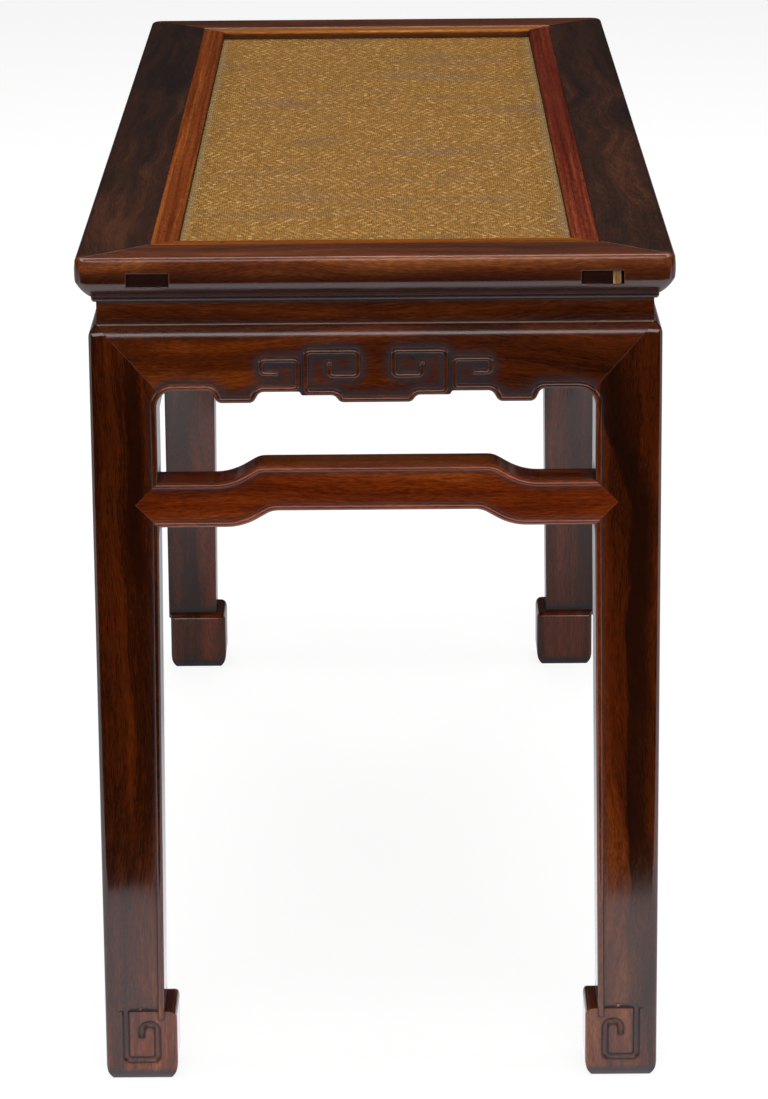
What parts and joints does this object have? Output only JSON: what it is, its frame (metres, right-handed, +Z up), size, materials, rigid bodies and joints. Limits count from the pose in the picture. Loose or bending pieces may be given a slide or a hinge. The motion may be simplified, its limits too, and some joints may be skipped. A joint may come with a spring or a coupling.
{
  "type": "wooden stool",
  "caption": "Oblong waisted hardwood stool with a woven cane seat, humpback stretchers, key-fret carved aprons and inward hoof feet.",
  "frame": {"origin": "on the floor under the middle of the seat", "axes": "+X across the stool, +Y along it away from the pictured short end, +Z up"},
  "size_m": [0.349, 0.93, 0.51],
  "materials": {
    "hardwood": "dark reddish-brown tropical hardwood, hand rubbed and waxed to a semi-gloss",
    "press_strip_wood": "straight-grained reddish wood, thin clear polish",
    "pale_wood": "bare pale wood or bamboo",
    "cane": "fine split rattan in a close twill weave, satin",
    "palm_fibre": "twisted palm-fibre cord, matt"
  },
  "bodies": {
    "root": {"seat_rail_front": "hardwood", "seat_rail_right": "hardwood", "seat_rail_back": "hardwood", "seat_rail_left": "hardwood", "press_strip_front": "press_strip_wood", "press_strip_right": "press_strip_wood", "press_strip_back": "press_strip_wood", "press_strip_left": "press_strip_wood", "waist_front": "hardwood", "waist_right": "hardwood", "waist_back": "hardwood", "waist_left": "hardwood", "apron_front": "hardwood", "apron_right": "hardwood", "apron_back": "hardwood", "apron_left": "hardwood", "stretcher_front": "hardwood", "stretcher_right": "hardwood", "stretcher_back": "hardwood", "stretcher_left": "hardwood", "leg_front_right": "hardwood", "leg_front_left": "hardwood", "leg_back_right": "hardwood", "leg_back_left": "hardwood", "seat_brace_front": "hardwood", "seat_brace_back": "hardwood", "cane_mat": "cane", "palm_web": "palm_fibre", "strip_pins": "press_strip_wood", "tenon_wedge": "pale_wood"}
  },
  "joints": []
}
